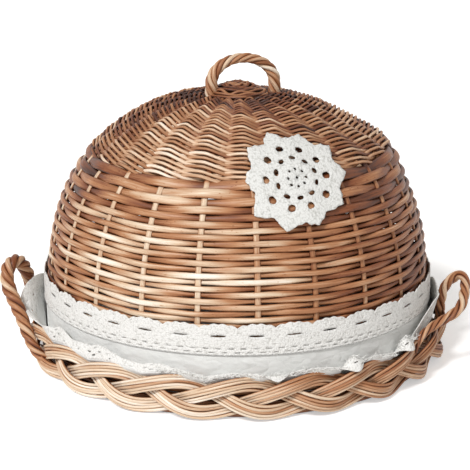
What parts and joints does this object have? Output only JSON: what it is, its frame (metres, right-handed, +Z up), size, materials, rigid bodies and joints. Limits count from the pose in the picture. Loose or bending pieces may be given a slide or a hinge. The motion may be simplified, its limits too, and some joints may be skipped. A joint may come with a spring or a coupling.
{
  "type": "food cover with tray",
  "caption": "Domed woven rattan food cover with lace and linen trim, lifting off a round tray with a plaited border, ear handles and a cloth liner.",
  "frame": {"origin": "middle of the tray's flat underside, where the tray stands on a table", "axes": "+Z up, +X to the right, where one of the ear handles is, +Y to the back; the doily faces the front, -Y"},
  "size_m": [0.3924, 0.3674, 0.257],
  "materials": {
    "rattan": "peeled rattan rods with a thin satin varnish, tan to reddish brown",
    "crown_rattan": "thin rattan rods with a satin varnish, a little darker than the sides",
    "dark_rattan": "unvarnished rattan stakes and sticks",
    "linen": "off-white plain-woven linen, matt",
    "lace": "white cotton crochet lace, matt"
  },
  "bodies": {
    "tray": {"tray_base_weave": "rattan", "base_stick_pierced_01": "dark_rattan", "base_stick_threaded_01": "dark_rattan", "base_stick_pierced_02": "dark_rattan", "base_stick_threaded_02": "dark_rattan", "base_stick_pierced_03": "dark_rattan", "base_stick_threaded_03": "dark_rattan", "tray_upset_weave": "rattan", "border_strand_01": "rattan", "border_strand_02": "rattan", "border_strand_03": "rattan", "tray_handle_left": "rattan", "tray_handle_right": "rattan", "liner_floor": "linen", "liner_wall": "linen", "liner_lace_edge": "lace"},
    "lid": {"lid_crown_weave": "crown_rattan", "lid_side_weave": "rattan", "lid_stake_01": "dark_rattan", "lid_stake_02": "dark_rattan", "lid_stake_03": "dark_rattan", "lid_stake_04": "dark_rattan", "lid_stake_05": "dark_rattan", "lid_stake_06": "dark_rattan", "lid_stake_07": "dark_rattan", "lid_stake_08": "dark_rattan", "lid_stake_09": "dark_rattan", "lid_stake_10": "dark_rattan", "lid_stake_11": "dark_rattan", "lid_stake_12": "dark_rattan", "lid_stake_13": "dark_rattan", "lid_stake_14": "dark_rattan", "lid_stake_15": "dark_rattan", "lid_stake_16": "dark_rattan", "lid_stake_17": "dark_rattan", "lid_stake_18": "dark_rattan", "lid_stake_19": "dark_rattan", "lid_stake_20": "dark_rattan", "lid_stake_21": "dark_rattan", "lid_stake_22": "dark_rattan", "lid_base_hoop": "rattan", "lid_handle": "rattan", "lid_doily": "lace", "lid_lace_band": "lace", "lid_linen_skirt": "linen"}
  },
  "joints": [
    {"name": "lid_lift", "type": "slide", "parent": "tray", "child": "lid", "axis": [0, 0, 1], "range_m": [0, 0.16]}
  ]
}
